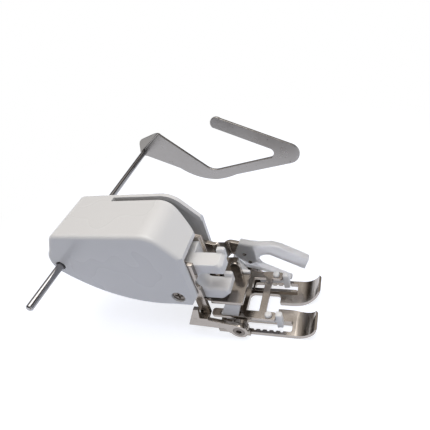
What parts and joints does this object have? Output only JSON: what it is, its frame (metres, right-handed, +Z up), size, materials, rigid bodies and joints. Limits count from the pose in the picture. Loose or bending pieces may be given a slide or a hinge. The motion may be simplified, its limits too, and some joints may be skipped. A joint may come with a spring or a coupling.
{
  "type": "sewing machine walking foot",
  "caption": "Low-shank walking foot for a sewing machine: white cover, forked lever, open-toe sole, feed foot with toothed pads and a sliding guide bar",
  "frame": {"origin": "centre of the clamp slot in the shank, where the presser bar's screw sits", "axes": "+X towards the front, the way the toes point, +Y to the machine's right, +Z up"},
  "size_m": [0.0696, 0.0735, 0.037],
  "materials": {
    "cover": "satin moulded",
    "plated_steel": "nickel plated sheet",
    "screw_steel": "plated turned steel",
    "spring_steel": "drawn wire and strip",
    "white_nylon": "moulded",
    "milky_nylon": "natural moulded",
    "rod_steel": "polished",
    "blade_steel": "brushed strip"
  },
  "bodies": {
    "base": {"cover": "cover", "cover_screw": "screw_steel", "shank_block": "white_nylon", "frame": "plated_steel", "lever_shaft": "screw_steel", "lever_bush": "screw_steel", "lever_spring": "spring_steel", "lift_pin_near": "screw_steel", "lift_pin_far": "screw_steel", "lift_spring_near": "spring_steel", "lift_spring_far": "spring_steel", "rod_spring": "spring_steel", "sole_screw_near": "screw_steel", "sole_screw_far": "screw_steel"},
    "lever": {"lever": "plated_steel", "lever_fork": "milky_nylon", "fork_rivets": "screw_steel"},
    "feed_carrier": {"feed_bracket": "plated_steel", "bracket_tab": "white_nylon", "feed_arm_near": "white_nylon", "feed_arm_far": "white_nylon"},
    "feed": {"feed_foot": "plated_steel", "feed_pad_near": "milky_nylon", "feed_pad_far": "milky_nylon"},
    "sole": {"sole": "plated_steel"},
    "guide": {"guide_rod": "rod_steel", "guide_blade": "blade_steel"}
  },
  "joints": [
    {"name": "lever_swing", "type": "hinge", "parent": "base", "child": "lever", "pos_m": [-0.03, 0.01005, 0.008], "axis": [0, -1, 0], "range_deg": [0, 38]},
    {"name": "feed_lift", "type": "slide", "parent": "base", "child": "feed_carrier", "axis": [0, 0, 1], "range_m": [-0.0022, 0], "deforming": ["lift_spring_near", "lift_spring_far"]},
    {"name": "feed_travel", "type": "slide", "parent": "feed_carrier", "child": "feed", "axis": [1, 0, 0], "range_m": [-0.0015, 0.0015]},
    {"name": "sole_rock", "type": "hinge", "parent": "base", "child": "sole", "pos_m": [0.0057, 0.00535, -0.0157], "axis": [0, 1, 0], "range_deg": [-5, 5]},
    {"name": "guide_slide", "type": "slide", "parent": "base", "child": "guide", "axis": [0, 1, 0], "range_m": [-0.037, 0.014]}
  ],
  "couplings": [
    {"joint": "feed_lift", "follows": "lever_swing", "m_per_rad": -0.0033}
  ]
}
